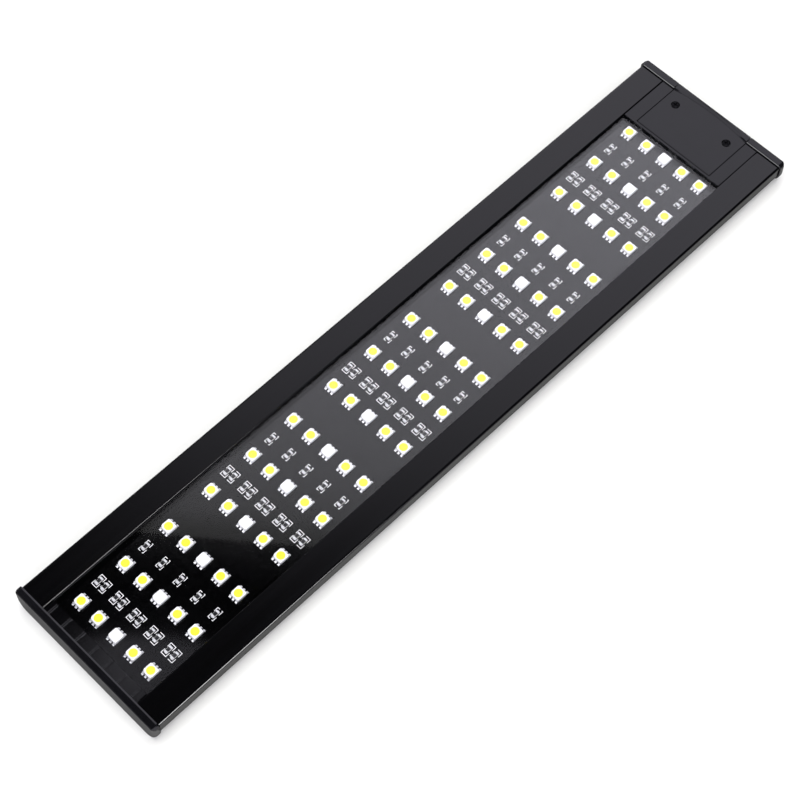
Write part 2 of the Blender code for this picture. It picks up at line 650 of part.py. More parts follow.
def build_wires():
    """Two short leads from the plug to the socket's contacts."""
    middle = (HEADER_Z[0] + HEADER_Z[1]) / 2
    colours = {"positive": (0.5, 0.02, 0.02), "negative": (0.02, 0.02, 0.02)}
    for name, side in (("positive", 1), ("negative", -1)):
        material = make_material(f"wire_{name}", colours[name], 0.45)
        start = Vector((PLUG_END + GAP, HEADER_Y + side * HEADER_PIN_PITCH / 2, middle))
        contact_end = SOCKET_BODY[0] - GAP - CONTACT_LENGTH
        end = Vector((contact_end - GAP, side * CONTACT_Y, CONTACT_Z + CONTACT_THICKNESS / 2))
        points = []
        for i in range(WIRE_STEPS + 1):
            t = i / WIRE_STEPS
            blend = t * t * (3 - 2 * t)
            swing = (end.y - start.y) * (blend - t)
            lift = side * WIRE_LIFT * math.sin(math.pi * t)
            points.append(start.lerp(end, t) + Vector((0, swing, lift)))
        curve = bpy.data.curves.new(f"wire_{name}", "CURVE")
        curve.dimensions = "3D"
        curve.bevel_depth = WIRE_RADIUS
        curve.bevel_resolution = 2
        curve.use_fill_caps = True
        spline = curve.splines.new("POLY")
        spline.points.add(len(points) - 1)
        for spot, point in zip(spline.points, points):
            spot.co = (*point, 1)
        curve.materials.append(material)
        bpy.context.collection.objects.link(bpy.data.objects.new(f"wire_{name}", curve))


# ---------------------------------------------------------------- screws

def cross_recess(label, long_half, axis, location):
    """Two crossed bars that cut the driver recess into a screw's head."""
    short_half = CROSS_SLENDERNESS * long_half
    bars = []
    for i, (half_x, half_y) in enumerate(((long_half, short_half), (short_half, long_half))):
        bar = boxes(f"cut_cross_{label}_{i}", [((-half_x, -half_y, -CROSS_DEPTH), (half_x, half_y, PAST))])
        bar.rotation_mode = "QUATERNION"
        bar.rotation_quaternion = Vector((0, 0, 1)).rotation_difference(Vector(axis))
        bar.location = location
        bars.append(bar)
    return bars


def build_cap_screws():
    """Countersunk screws through the back of the housing into the caps."""
    material = make_material("screw_steel", (0.3, 0.3, 0.31), 0.35, 1.0)
    tip = CAP_SCREW_LENGTH
    profile = [(0, 0), (HEAD_RADIUS, 0), (HEAD_RADIUS, HEAD_RIM)]
    profile += [(SHANK_RADIUS, HEAD_RIM + COUNTERSINK_DEPTH), (SHANK_RADIUS, tip - SCREW_TIP_LENGTH)]
    profile += [(SCREW_TIP_RADIUS, tip), (0, tip)]
    for label, x, y in screw_positions():
        place = (x, y, HOUSING_BOTTOM + HEAD_SET_BACK)
        screw = turned(f"cap_screw_{label}", profile, (0, 0, 1), place, material)
        cut(screw, *cross_recess(label, CROSS_HALF, (0, 0, -1), place))


def build_cover_screws():
    material = make_material("screw_black", (0.02, 0.02, 0.022), 0.35, 0.8)
    length = COVER_SCREW_LENGTH
    head = COVER_HEAD_HEIGHT
    crown_radius = COVER_HEAD_RADIUS - COVER_HEAD_EDGE
    profile = [(0, -length), (SCREW_TIP_RADIUS, -length), (SHANK_RADIUS, -length + SCREW_TIP_LENGTH)]
    profile += [(SHANK_RADIUS, GAP - head), (COVER_HEAD_RADIUS, GAP - head), (COVER_HEAD_RADIUS, 0)]
    profile += [(crown_radius, COVER_HEAD_CROWN), (0, COVER_HEAD_CROWN)]
    for name, side in (("left", 1), ("right", -1)):
        place = (COVER_SCREW_X, side * COVER_SCREW_Y, HOUSING_TOP)
        screw = turned(f"cover_screw_{name}", profile, (0, 0, 1), place, material)
        top = (place[0], place[1], HOUSING_TOP + COVER_HEAD_CROWN)
        cut(screw, *cross_recess(name, CROSS_HALF, (0, 0, 1), top))


# ---------------------------------------------------------------- assembly

def main():
    clear_scene()
    cap_material = make_material("cap_plastic", (0.014, 0.014, 0.016), 0.3)
    build_housing()
    build_near_cap(cap_material)
    build_far_cap(cap_material)
    build_cover(cap_material)
    build_cover_gasket()
    build_lens()
    build_lens_seals()
    build_led_board()
    build_thermal_pad()
    build_socket()
    build_socket_seal()
    build_contacts()
    build_header()
    build_wires()
    build_cap_screws()
    build_cover_screws()


main()
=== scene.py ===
"""The looks of the LED aquarium light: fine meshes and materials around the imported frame."""

import json
import math

import bmesh
import bpy
from mathutils import Matrix, Vector


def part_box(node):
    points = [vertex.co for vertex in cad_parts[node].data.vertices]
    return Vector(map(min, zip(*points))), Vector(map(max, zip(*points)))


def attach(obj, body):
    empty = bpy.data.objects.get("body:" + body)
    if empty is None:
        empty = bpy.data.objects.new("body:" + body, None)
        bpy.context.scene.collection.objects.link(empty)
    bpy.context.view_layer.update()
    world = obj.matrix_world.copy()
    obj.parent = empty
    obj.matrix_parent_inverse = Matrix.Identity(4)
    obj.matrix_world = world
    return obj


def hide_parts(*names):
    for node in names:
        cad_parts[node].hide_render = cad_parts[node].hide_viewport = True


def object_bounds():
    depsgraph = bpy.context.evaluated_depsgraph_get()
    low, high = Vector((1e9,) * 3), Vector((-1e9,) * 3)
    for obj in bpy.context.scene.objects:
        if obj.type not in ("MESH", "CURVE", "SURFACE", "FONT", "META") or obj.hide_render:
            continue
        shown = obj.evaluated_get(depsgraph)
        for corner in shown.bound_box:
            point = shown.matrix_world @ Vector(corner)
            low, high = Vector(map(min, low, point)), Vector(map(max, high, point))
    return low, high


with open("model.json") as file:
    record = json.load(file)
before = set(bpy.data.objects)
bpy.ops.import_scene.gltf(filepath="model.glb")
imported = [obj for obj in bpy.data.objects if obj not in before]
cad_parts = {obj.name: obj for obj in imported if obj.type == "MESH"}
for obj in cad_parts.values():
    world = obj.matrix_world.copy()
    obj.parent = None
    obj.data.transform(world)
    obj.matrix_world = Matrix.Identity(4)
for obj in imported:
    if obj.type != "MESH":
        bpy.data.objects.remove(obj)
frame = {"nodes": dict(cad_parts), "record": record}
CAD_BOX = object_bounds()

MM = 0.001
BODY = "root"

# Places taken from the frame
BOARD_LOW, BOARD_TOP_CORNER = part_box("led_board")
LENS_LOW, LENS_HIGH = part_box("lens")

# Shading is smooth up to these angles, in degrees
SMOOTH_ANGLE = 35.0
TRACK_SMOOTH_ANGLE = 15.0
MOULDING_SMOOTH_ANGLE = 40.0
SOFTENED_SMOOTH_ANGLE = 50.0
ROUND_SMOOTH_ANGLE = 60.0

# Softened copies of CAD nodes
SHARP_ANGLE = 30.0
WELD_DISTANCE = 0.002 * MM
DISSOLVE_ANGLE = 1.0
FLAT_AREA = 3.0 * MM ** 2           # larger level faces are shaded flat, so that bevels don't bend them
LEVEL = 0.9999
BEVEL_SEGMENTS = 2
CREST_SEGMENTS = 4
CREST = 11.6 * MM                   # above this lie only the tops of the caps' plates
CASING_BEVEL = 0.1 * MM
NEAR_CREST_BEVEL = 0.8 * MM
FAR_CREST_BEVEL = 0.5 * MM
LENS_BEVEL = 0.08 * MM
SCREW_BEVEL = 0.05 * MM
SOCKET_BEVEL = 0.06 * MM
CONNECTOR_BEVEL = 0.08 * MM

# The near cap's tongue and its ribs
TONGUE_START = -177.15 * MM
TONGUE_LOW = 10.6 * MM
RIB_COUNT = 7
RIB_PITCH = 7.9 * MM
CREST_OFFSET = 0.38 * MM
CREST_HEIGHT = 11.22 * MM
CREST_RADIUS = 0.22 * MM
CREST_COURSE = (                    # places along X, each with the share of the radius there
    (-177.3 * MM, 1.0), (-172.75 * MM, 1.0), (-172.6 * MM, 0.92), (-172.48 * MM, 0.7), (-172.4 * MM, 0.3))

# Sealant along the window
WINDOW_HALF = 27.0 * MM
BEAD_RADIUS = 0.17 * MM
BEAD_INSET = 0.1 * MM
BEAD_LIFT = 0.15 * MM
TUBE_SIDES = 12                     # of the crests and the beads

# Rounded shapes
CORNER_STEPS = 3
LEAST_CORNER_SHARE = 0.3            # of a block's corner radius, kept at its upper edge

# LED board, laid out as in the CAD
LED_HEIGHT = 1.6 * MM
BOARD_HIGH = BOARD_TOP_CORNER.z - LED_HEIGHT
BOARD_CORNER = 1.5 * MM
BOARD_CORNER_STEPS = 6
BOARD_EDGE = 0.12 * MM
COLUMNS = 15
ROWS = 5
GROUP = 3                           # columns of LEDs in series
COLUMN_PITCH = 22.3 * MM
ROW_PITCH = 10.0 * MM
FIRST_COLUMN_X = BOARD_LOW.x + 6.8 * MM
MIDDLE_ROW = ROWS // 2
SUNK = 0.02 * MM                    # how far a small piece reaches into what it sits on

# LED package
LED_HALF = 2.5 * MM
LED_RING = 40                       # points round the moulding: a multiple of 8 puts some on its corners
LED_CORNER = 0.3 * MM
LED_POLARITY_CHAMFER = 0.85 * MM
LED_FOOT = 0.12 * MM
LED_PARTING = 0.8 * MM
LED_DRAFT = 0.15 * MM
LED_TOP_EDGE = 0.1 * MM
LED_TOP_EDGE_SHARE = 0.3            # where along the rounded edge its middle ring lies
CUP_RADIUS = 1.8 * MM
CUP_LIP = 0.06 * MM
CUP_LIP_DEPTH = 0.05 * MM
CUP_FLOOR_RADIUS = 1.6 * MM
CUP_DEPTH = 0.35 * MM
GEL_SAG = 0.07 * MM
GEL_SET_BACK = 0.06 * MM
GEL_CLEARANCE = 0.02 * MM
GEL_SHARES = (1.0, 0.8, 0.5, 0.2)   # of the cup's radius, for the rings of the fill's surface

# Dies and bond wires
DIE_SIZE = (0.55 * MM, 0.35 * MM, 0.12 * MM)
DIE_OFFSETS = ((-0.75 * MM, 0.55 * MM), (0.75 * MM, 0.55 * MM), (0.0, -0.7 * MM))
DIE_CORNER = 0.03 * MM
DIE_EDGE = 0.02 * MM
BOND_WIRE_RADIUS = 0.025 * MM
BOND_WIRE_SIDES = 6
BOND_WIRE_STEPS = 6
BOND_WIRE_REACH = 0.495 * MM
BOND_WIRE_DRIFT = 0.25 * MM
BOND_WIRE_LIFT = 0.12 * MM

# Leads
LEAD_PITCH = 1.7 * MM
LEAD_WIDTH = 0.9 * MM
LEAD_THICKNESS = 0.2 * MM
LEAD_REACH = 0.16 * MM              # how far a lead stands out of the moulding
LEAD_ROOT = 0.1 * MM                # how far it starts inside the moulding
LEAD_BEND = 0.06 * MM
LEAD_SHOULDER = 0.08 * MM
LEAD_FOOT = 0.9 * MM                # how far its foot runs back under the moulding
LEAD_FOOT_LOW = 0.02 * MM
LEAD_FOOT_HIGH = 0.1 * MM
LEAD_FOOT_CORNER = 0.12 * MM

# Pads and solder
PAD_WIDTH = 1.05 * MM
PAD_INNER = 1.7 * MM
PAD_OUTER = 3.3 * MM
PAD_HEIGHT = 0.04 * MM
FILLET_HEIGHT = 0.5 * MM
FILLET_STEPS = 5
FILLET_POWER = 2.2
SOLDER_OVERLAP = 0.02 * MM
SOLDER_ACROSS = (-1.0, -0.8, -0.35, 0.35, 0.8, 1.0)
SOLDER_CROWN = (0.15, 0.75, 1.0, 1.0, 0.75, 0.15)

# Chip resistor
RESISTOR_OFFSET_X = 10.5 * MM
RESISTOR_OFFSET_Y = 0.3 * MM
RESISTOR_PAIR_PITCH = 3.5 * MM
RESISTOR_HALF = (1.6 * MM, 0.8 * MM)
RESISTOR_HEIGHT = 0.55 * MM
RESISTOR_CORNER = 0.06 * MM
RESISTOR_EDGE = 0.04 * MM
RESISTOR_PAD = (0.95 * MM, 1.8 * MM, 0.72 * MM)      # inner end, outer end, half-width
RESISTOR_FILLET_SHARE = 0.75
TERMINAL_LENGTH = 0.75 * MM
TERMINAL_SKIN = 0.03 * MM
TERMINAL_RISE = 0.04 * MM
TERMINAL_CORNER = 0.1 * MM
TERMINAL_EDGE = 0.06 * MM
GLAZE_HALF = (0.84 * MM, 0.72 * MM)
GLAZE_RISE = 0.03 * MM
GLAZE_CORNER = 0.12 * MM
GLAZE_EDGE = 0.02 * MM

# Printed outlines
LEGEND_HALF = (2.75 * MM, 1.45 * MM)
LEGEND_LINE = 0.27 * MM
LEGEND_LEG = 2.1 * MM
LEGEND_HEIGHT = 0.02 * MM

# Copper tracks under the mask
TRACK_HEIGHT = 0.03 * MM
TRACK_WIDTH = 1.0 * MM
TRACK_CORNER_SHARE = 0.3
TRACK_EDGE_SHARE = 0.8
TRACK_END = 2.0 * MM                # from the board's ends to where the buses' middle lines end
BUS_Y = 25.2 * MM
BUS_WIDTH = 1.8 * MM
STEP_PITCH = 2.6 * MM
STEP_START = 4.6 * MM

# Textures: cells per metre along X, Y and Z
DRAWN_LINES = (7, 1500, 1500)
DRAWN_BANDS = (3, 160, 160)
SATIN_GRAIN = (9000, 9000, 9000)
MOULDED_CLOUD = (120, 120, 120)
MOULDED_TEXTURE = (4200, 4200, 4200)
METAL_MARKS = (2500, 2500, 2500)
MASK_PEEL = (420, 420, 420)
WEAVE_SCALE = 260.0
WEAVE_DISTORTION = 1.5
LENS_RIPPLE = (28, 28, 28)
CUP_PATCHES = (900, 900, 900)
PHOSPHOR_SPECKLE = (9000, 9000, 9000)
PAPER_CLOUD = (60, 60, 60)
NOISE_LOW, NOISE_HIGH = 0.3, 0.7    # most of the noise lies between these

# Bumps: depth in metres, and strength
LINE_BUMP = (0.000012, 0.3)
GRAIN_BUMP = (0.000006, 0.2)
BLACK_BUMP = (0.00001, 0.3)
METAL_BUMP = (0.00001, 0.4)
PEEL_BUMP = (0.00001, 0.01)
WEAVE_BUMP = (0.000002, 0.02)
RIPPLE_BUMP = (0.00004, 0.015)
SPECKLE_BUMP = (0.00001, 0.3)
TEXTURE_BUMP = (0.00002, 0.4)
FINE_BUMP = (0.00001, 0.4)
PRINT_BUMP = (0.000005, 0.4)

# Roughness: lowest and highest, or how far it strays from the value in a table
ANODISED_ROUGHNESS = (0.15, 0.20)
BAND_STRAY = (-0.01, 0.01)
BLACK_STRAY = (0.9, 1.1)            # as a share
PLASTIC_STRAY = (-0.03, 0.03)
METAL_STRAY = (-0.06, 0.08)
MASK_ROUGHNESS = (0.09, 0.12)
LENS_ROUGHNESS = (0.015, 0.03)
GEL_ROUGHNESS = (0.28, 0.36)
PHOSPHOR_ROUGHNESS = (0.24, 0.34)
PAPER_ROUGHNESS = 0.8

# Optics
ANODISED_IOR = 1.5
MASK_IOR = 1.42
LENS_IOR = 1.45
ANODISED_MOST = 0.12                # the most that its skin mirrors, at a grazing angle
BLACK_MOST = 0.14
GEL_MILK = 0.86                     # how much of the clear fill is milky
PATCH_MOST = 0.35                   # how far the phosphor's patches drift to their own colour

# Colours that drift from dark to light, and single ones
ANODISED_COLOURS = ((0.0004, 0.0004, 0.0005), (0.0007, 0.0007, 0.0009))
BLACK_SHARES = ((0.8, 0.8, 1.0), (1.3, 1.3, 1.6))    # of the body's brightness
MASK_COLOURS = ((0.0003, 0.0003, 0.0004), (0.0006, 0.0006, 0.0007))
GEL_COLOURS = ((0.91, 0.91, 0.88), (0.96, 0.96, 0.935))
PHOSPHOR_COLOURS = ((0.88, 0.78, 0.04), (0.95, 0.88, 0.07))
PAPER_COLOURS = ((0.79, 0.795, 0.75), (0.805, 0.81, 0.765))
PATCH_COLOUR = (0.93, 0.76, 0.03, 1)
LENS_CLEAR = (0.985, 0.988, 0.99, 1)
GEL_CLEAR = (0.99, 0.992, 0.985, 1)

# Blacks of the caps and the sealant: name, roughness, index of refraction and brightness of the body
BLACKS = {
    "cap_plastic": ("cap_satin", 0.19, 1.47, 0.003),
    "cap_gloss": ("cap_polished", 0.06, 2.0, 0.001),
    "bead_black": ("bead_black", 0.1, 1.6, 0.001),
}
# Plastics: name, dark and light colour, roughness and bump
PLASTICS = {
    "seal_rubber": ("rubber_black", (0.012, 0.012, 0.012), (0.022, 0.022, 0.022), 0.75, TEXTURE_BUMP),
    "thermal_silicone": ("pad_grey", (0.28, 0.29, 0.31), (0.38, 0.39, 0.41), 0.7, TEXTURE_BUMP),
    "socket_plastic": ("socket_black", (0.008, 0.008, 0.008), (0.014, 0.014, 0.014), 0.38, TEXTURE_BUMP),
    "connector_nylon": ("nylon_natural", (0.66, 0.64, 0.57), (0.78, 0.76, 0.7), 0.45, TEXTURE_BUMP),
    "wire_red": ("wire_red", (0.38, 0.012, 0.012), (0.52, 0.02, 0.02), 0.42, FINE_BUMP),
    "wire_black": ("wire_black", (0.01, 0.01, 0.01), (0.02, 0.02, 0.02), 0.42, FINE_BUMP),
    "led_package": ("led_moulding", (0.86, 0.86, 0.86), (0.91, 0.91, 0.905), 0.36, FINE_BUMP),
    "resistor_body": ("alumina", (0.62, 0.61, 0.58), (0.72, 0.71, 0.68), 0.5, TEXTURE_BUMP),
    "die_pale": ("die_pale", (0.62, 0.66, 0.72), (0.72, 0.75, 0.8), 0.3, TEXTURE_BUMP),
    "resistor_glaze": ("glaze_black", (0.008, 0.008, 0.009), (0.014, 0.014, 0.016), 0.28, TEXTURE_BUMP),
    "board_legend": ("legend_white", (0.86, 0.86, 0.86), (0.93, 0.93, 0.93), 0.5, PRINT_BUMP),
}
# Metals: name, dark and light colour, roughness and how metallic
METALS = {
    "contact_metal": ("tinned_brass", (0.66, 0.62, 0.52), (0.82, 0.79, 0.7), 0.3, 1.0),
    "screw_steel": ("zinc_steel", (0.32, 0.32, 0.33), (0.52, 0.52, 0.54), 0.3, 1.0),
    "screw_black": ("black_steel", (0.010, 0.010, 0.011), (0.02, 0.02, 0.022), 0.34, 1.0),
    "solder_tin": ("bright_tin", (0.82, 0.82, 0.84), (0.93, 0.93, 0.94), 0.4, 0.55),
}

# Studio: directions are slopes along X and Y, and (0, 0) is straight up
OPENING = (-0.06, 0.11)
TENT_RAMP_REACH = 0.8
TENT_RAMP = ((0.42, 0.0), (0.44, 0.015), (0.453, 0.22), (0.478, 0.36), (0.503, 0.45), (0.53, 0.53),
             (0.582, 0.675), (0.637, 0.81), (0.72, 0.94), (0.8, 1.0))
TENT_LEVEL = 1.65
GAP_SECTOR = ((-73, -68, 8, 22), 0.98)        # edges in degrees round from +X, and how much is lost
SHADE_SECTOR = ((56, 68, 120, 150), 0.85)
CARD_PLACE = (0.10, 0.30)
CARD_RADIUS = 0.13
CARD_BLUR = 0.006
CARD_FROM = (0.1665, 0.3635)
CARD_LEVEL = 0.4
STUDIO_LEVEL = 0.01
STUDIO_TINT = (0.935, 0.915, 1.03, 1.0)
LEAST_HEIGHT = 0.02                 # of a direction, so that its slopes stay finite

# Floor
FLOOR_HALF = 4.0
FLOOR_CELLS = 8
FLOOR_GAP = 0.02 * MM

# Softboxes: place, size and brightness of the face
SOFTBOXES = {
    "key_softbox": ((-0.28, -0.80, 0.62), (0.9, 0.5), 2.2),
    "overhead_fill": ((0.0, 0.1, 1.3), (1.3, 1.1), 3.6),
    "edge_strip": ((-0.27, -0.80, 0.62), (0.98, 0.4), 24.0),
    "end_strip": ((-1.25, 0.5, 0.8), (1.1, 0.7), 7.0),
    "window_panel": ((1.486, 1.319, 3.0), (1.5, 1.4), 0.38),
}
PANEL_TURN = math.radians(-50.3)
DIFFUSE_ONLY = ("key_softbox", "overhead_fill")
MIRRORED_IN = {                     # softboxes that are only mirrored, with the pieces that mirror them
    "window_panel": ("lens_fine", "circuit_board", "copper_tracks"),
    "edge_strip": ("housing_fine",),
    "end_strip": ("near_end_cap_fine", "far_end_cap_fine", "tongue_rib_crests", "housing_fine",
                  "led_leads", "solder_joints", "resistor_terminals"),
}

# Camera: the photograph's place and direction
CAMERA_PLACE = Vector((-0.2971, -0.2877, 0.7272))
CAMERA_TARGET = Vector((-0.0133, -0.00066, 0.0))
CAMERA_ROLL = math.radians(-0.25)
CAMERA_LENS = 92.0
CAMERA_CLIP = (0.01, 20.0)


# ---------------------------------------------------------------- node helpers

def node(tree, kind, inputs=None, **properties):
    """Adds a shader node; an input's value may be a socket, which is then linked."""
    made = tree.nodes.new(kind)
    for name, value in properties.items():
        setattr(made, name, value)
    for name, value in (inputs or {}).items():
        if isinstance(value, bpy.types.NodeSocket):
            tree.links.new(value, made.inputs[name])
        else:
            made.inputs[name].default_value = value
    return made


def math_node(tree, operation, first, second=0.0, third=0.0):
    inputs = {0: first, 1: second, 2: third}
    return node(tree, "ShaderNodeMath", inputs, operation=operation).outputs[0]


def object_coords(tree, scale):
    """Object coordinates in metres, stretched; every piece sits at the frame's origin."""
    place = node(tree, "ShaderNodeTexCoord").outputs["Object"]
    return node(tree, "ShaderNodeMapping", {"Vector": place, "Scale": scale}).outputs[0]


def noise(tree, scale, detail=2.0, roughness=0.55):
    """Noise whose size along X, Y and Z follows the scale, in cells per metre."""
    inputs = {"Vector": object_coords(tree, scale), "Scale": 1.0, "Detail": detail, "Roughness": roughness}
    return node(tree, "ShaderNodeTexNoise", inputs).outputs["Fac"]


def remap(tree, value, low, high):
    """Noise spread from low to high."""
    inputs = {"Value": value, "From Min": NOISE_LOW, "From Max": NOISE_HIGH, "To Min": low, "To Max": high}
    return node(tree, "ShaderNodeMapRange", inputs).outputs[0]


def mix_colours(tree, factor, first, second, blend="MIX"):
    inputs = {"Factor": factor, "A": first, "B": second}
    return node(tree, "ShaderNodeMix", inputs, data_type="RGBA", blend_type=blend).outputs["Result"]


def tint(tree, value, dark, light):
    """A colour that drifts between two as the noise does."""
    return mix_colours(tree, remap(tree, value, 0.0, 1.0), (*dark, 1), (*light, 1))


def bump(tree, height, distance, strength, normal=None):
    inputs = {"Height": height, "Distance": distance, "Strength": strength}
    if normal is not None:
        inputs["Normal"] = normal
    return node(tree, "ShaderNodeBump", inputs).outputs["Normal"]


def new_material(name):
    material = bpy.data.materials.new(name)
    material.use_nodes = True
    material.node_tree.nodes.clear()
    return material, material.node_tree


def finish_material(tree, shader):
    node(tree, "ShaderNodeOutputMaterial", {"Surface": shader.outputs[0]})


def principled(tree, colour, roughness, normal=None, metallic=0.0):
    inputs = {"Base Color": colour, "Roughness": roughness, "Metallic": metallic}
    if normal is not None:
        inputs["Normal"] = normal
    return node(tree, "ShaderNodeBsdfPrincipled", inputs)


def mix_shaders(tree, share, first, second):
    return node(tree, "ShaderNodeMixShader", {0: share, 1: first.outputs[0], 2: second.outputs[0]})


# ---------------------------------------------------------------- materials

def coated(tree, diffuse, roughness, ior, normal, most=1.0):
    """A dark body under a mirror-like skin; most caps what the skin mirrors at a grazing angle."""
    body = node(tree, "ShaderNodeBsdfDiffuse", {"Color": diffuse, "Normal": normal})
    inputs = {"Roughness": roughness, "Normal": normal}
    gloss = node(tree, "ShaderNodeBsdfGlossy", inputs, distribution="BECKMANN")
    fresnel = node(tree, "ShaderNodeFresnel", {"IOR": ior, "Normal": normal})
    share = math_node(tree, "MINIMUM", fresnel.outputs[0], most)
    return mix_shaders(tree, share, body, gloss)


def anodised_material():
    """Black anodised extrusion: fine lines along X, and a satin grain."""
    material, tree = new_material("anodised_black")
    lines = noise(tree, DRAWN_LINES, 4.0, 0.7)
    bands = noise(tree, DRAWN_BANDS)
    grain = noise(tree, SATIN_GRAIN, 1.0)
    normal = bump(tree, lines, *LINE_BUMP)
    normal = bump(tree, grain, *GRAIN_BUMP, normal)
    stray = remap(tree, bands, *BAND_STRAY)
    rough = math_node(tree, "ADD", remap(tree, lines, *ANODISED_ROUGHNESS), stray)
    colour = tint(tree, bands, *ANODISED_COLOURS)
    finish_material(tree, coated(tree, colour, rough, ANODISED_IOR, normal, ANODISED_MOST))
    return material


def black_material(name, roughness, ior, body):
    """Black plastic or sealant, polished or with a light texture."""
    material, tree = new_material(name)
    cloud = noise(tree, MOULDED_CLOUD)
    texture = noise(tree, MOULDED_TEXTURE)
    normal = bump(tree, texture, *BLACK_BUMP)
    dark, light = ([share * body for share in shares] for shares in BLACK_SHARES)
    colour = tint(tree, cloud, dark, light)
    rough = remap(tree, cloud, *(roughness * share for share in BLACK_STRAY))
    finish_material(tree, coated(tree, colour, rough, ior, normal, BLACK_MOST))
    return material


def plastic_material(name, dark, light, roughness, texture_bump):
    """Moulded plastic with a fine spark-eroded texture."""
    material, tree = new_material(name)
    cloud = noise(tree, MOULDED_CLOUD)
    texture = noise(tree, MOULDED_TEXTURE)
    colour = tint(tree, cloud, dark, light)
    rough = remap(tree, cloud, *(roughness + stray for stray in PLASTIC_STRAY))
    finish_material(tree, principled(tree, colour, rough, bump(tree, texture, *texture_bump)))
    return material


def metal_material(name, dark, light, roughness, metallic):
    material, tree = new_material(name)
    marks = noise(tree, METAL_MARKS, 3.0)
    colour = tint(tree, marks, dark, light)
    rough = remap(tree, marks, *(roughness + stray for stray in METAL_STRAY))
    finish_material(tree, principled(tree, colour, rough, bump(tree, marks, *METAL_BUMP), metallic))
    return material


def mask_material():
    """Gloss solder mask, with the glass weave faintly showing in it."""
    material, tree = new_material("solder_mask")
    place = object_coords(tree, (1, 1, 1))
    inputs = {"Vector": place, "Scale": WEAVE_SCALE, "Distortion": WEAVE_DISTORTION}
    weave = node(tree, "ShaderNodeTexWave", inputs)
    peel = noise(tree, MASK_PEEL)
    normal = bump(tree, peel, *PEEL_BUMP)
    normal = bump(tree, weave.outputs["Fac"], *WEAVE_BUMP, normal)
    rough = remap(tree, peel, *MASK_ROUGHNESS)
    finish_material(tree, coated(tree, tint(tree, peel, *MASK_COLOURS), rough, MASK_IOR, normal))
    return material


def lens_material():
    """Clear acrylic sheet: it mirrors by angle and lets the rest straight through."""
    material, tree = new_material("clear_acrylic")
    ripple = noise(tree, LENS_RIPPLE, 1.0)
    clear = node(tree, "ShaderNodeBsdfTransparent", {"Color": LENS_CLEAR})
    normal = bump(tree, ripple, *RIPPLE_BUMP)
    inputs = {"Roughness": remap(tree, ripple, *LENS_ROUGHNESS), "Normal": normal}
    gloss = node(tree, "ShaderNodeBsdfGlossy", inputs)
    # The Fresnel node inverts its index on a face seen from within, so it is given the inverse there
    behind = node(tree, "ShaderNodeNewGeometry").outputs["Backfacing"]
    power = math_node(tree, "MULTIPLY_ADD", behind, -2.0, 1.0)
    ior = math_node(tree, "POWER", LENS_IOR, power)
    share = node(tree, "ShaderNodeFresnel", {"IOR": ior})
    finish_material(tree, mix_shaders(tree, share.outputs[0], clear, gloss))
    return material


def gel_material():
    """Pale, half clear silicone in the middle row's cups."""
    material, tree = new_material("clear_gel")
    ripple = noise(tree, CUP_PATCHES, 1.0)
    clear = node(tree, "ShaderNodeBsdfTransparent", {"Color": GEL_CLEAR})
    milk = principled(tree, tint(tree, ripple, *GEL_COLOURS), remap(tree, ripple, *GEL_ROUGHNESS))
    finish_material(tree, mix_shaders(tree, GEL_MILK, clear, milk))
    return material


def phosphor_material():
    """Yellow phosphor in silicone, speckled and a little uneven."""
    material, tree = new_material("phosphor_yellow")
    speckle = noise(tree, PHOSPHOR_SPECKLE)
    patch = noise(tree, CUP_PATCHES)
    fine = tint(tree, speckle, *PHOSPHOR_COLOURS)
    colour = mix_colours(tree, remap(tree, patch, 0.0, PATCH_MOST), fine, PATCH_COLOUR)
    rough = remap(tree, patch, *PHOSPHOR_ROUGHNESS)
    finish_material(tree, principled(tree, colour, rough, bump(tree, speckle, *SPECKLE_BUMP)))
    return material


def floor_material():
    """Plain pale paper."""
    material, tree = new_material("floor_white")
    paper = noise(tree, PAPER_CLOUD)
    finish_material(tree, principled(tree, tint(tree, paper, *PAPER_COLOURS), PAPER_ROUGHNESS))
    return material


def make_materials():
    """Each slot's material, and those of the finishes of their own."""
    made = {
        "anodised_aluminium": anodised_material(),
        "lens_acrylic": lens_material(),
        "board_mask": mask_material(),
        "led_phosphor": phosphor_material(),
        "led_clear_gel": gel_material(),
    }
    tables = ((black_material, BLACKS), (plastic_material, PLASTICS), (metal_material, METALS))
    for maker, table in tables:
        for slot, values in table.items():
            made[slot] = maker(*values)
    return made


# ---------------------------------------------------------------- mesh helpers

def add_piece(name, bm, slot, smooth_angle=SMOOTH_ANGLE, slots=()):
    """Makes a bmesh into a piece that rides on the body; slots are further materials on it."""
    bmesh.ops.recalc_face_normals(bm, faces=bm.faces)
    mesh = bpy.data.meshes.new(name)
    bm.to_mesh(mesh)
    bm.free()
    mesh.shade_smooth()
    mesh.set_sharp_from_angle(angle=math.radians(smooth_angle))
    for each in (slot, *slots):
        mesh.materials.append(MATERIALS[each])
    piece = bpy.data.objects.new(name, mesh)
    bpy.context.scene.collection.objects.link(piece)
    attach(piece, BODY)
    return piece


def bridge(bm, lower, upper):
    """Quads between two rings with the same count."""
    count = len(lower)
    for i in range(count):
        j = (i + 1) % count
        bm.faces.new((lower[i], lower[j], upper[j], upper[i]))


def skin(bm, rings):
    """A surface through rings of points, closed at its ends."""
    made = [[bm.verts.new(point) for point in ring] for ring in rings]
    for lower, upper in zip(made, made[1:]):
        bridge(bm, lower, upper)
    bm.faces.new(made[0])
    bm.faces.new(made[-1])


